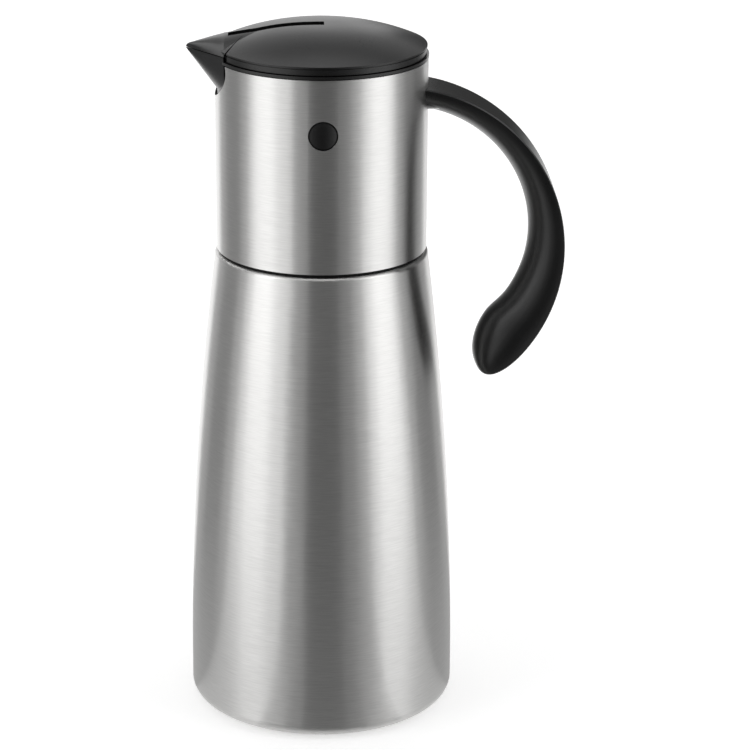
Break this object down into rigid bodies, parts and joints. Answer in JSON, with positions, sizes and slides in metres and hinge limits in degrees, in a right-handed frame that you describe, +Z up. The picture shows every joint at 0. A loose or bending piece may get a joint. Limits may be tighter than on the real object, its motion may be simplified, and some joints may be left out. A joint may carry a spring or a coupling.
{
  "type": "insulated pouring jug",
  "caption": "Slim double-walled steel coffee jug with a black beaked lid, side push-buttons and a curved black handle open at its lower end.",
  "frame": {"origin": "centre of the standing face, on the axis of the round body", "axes": "+Z up the jug's axis, -X towards the beak, +X towards the handle, -Y towards the button that the picture shows"},
  "size_m": [0.1511, 0.1086, 0.2845],
  "materials": {
    "brushed_shell": "fine brushed around the axis",
    "hardware_steel": "plain steel",
    "black_plastic": "satin",
    "inner_plastic": "matt",
    "silicone": "matt",
    "foam": "matt foam"
  },
  "bodies": {
    "jug": {"outer_body": "brushed_shell", "inner_vessel": "brushed_shell", "collar_sleeve": "brushed_shell", "base_plate": "brushed_shell", "handle_plate": "hardware_steel", "handle_screws": "hardware_steel", "near_button_spring": "hardware_steel", "far_button_spring": "hardware_steel", "pour_insert": "black_plastic", "handle": "black_plastic", "joint_ring": "black_plastic", "collar_core": "inner_plastic", "vacuum_seal_plug": "inner_plastic", "base_pad": "silicone", "neck_gasket": "silicone", "insert_seal": "silicone"},
    "lid": {"lid_shell": "black_plastic", "lid_base": "inner_plastic", "lid_plug": "inner_plastic", "lid_plug_foam": "foam", "lid_seal": "silicone", "lid_screws": "hardware_steel", "flap_pin": "hardware_steel"},
    "pour_flap": {"pour_flap": "inner_plastic", "flap_seal": "silicone"},
    "near_button": {"near_button": "black_plastic"},
    "far_button": {"far_button": "black_plastic"}
  },
  "joints": [
    {"name": "lid_lift", "type": "slide", "parent": "jug", "child": "lid", "axis": [0, 0, 1], "range_m": [0, 0.06]},
    {"name": "pour_flap_swing", "type": "hinge", "parent": "lid", "child": "pour_flap", "pos_m": [-0.001, 0, 0.2459], "axis": [0, 1, 0], "range_deg": [0, 35]},
    {"name": "near_button_press", "type": "slide", "parent": "jug", "child": "near_button", "axis": [0, 1, 0], "range_m": [0, 0.0025], "stiffness_N_per_m": 800, "springref_m": -0.001, "deforming": ["near_button_spring"]},
    {"name": "far_button_press", "type": "slide", "parent": "jug", "child": "far_button", "axis": [0, -1, 0], "range_m": [0, 0.0025], "stiffness_N_per_m": 800, "springref_m": -0.001, "deforming": ["far_button_spring"]}
  ]
}
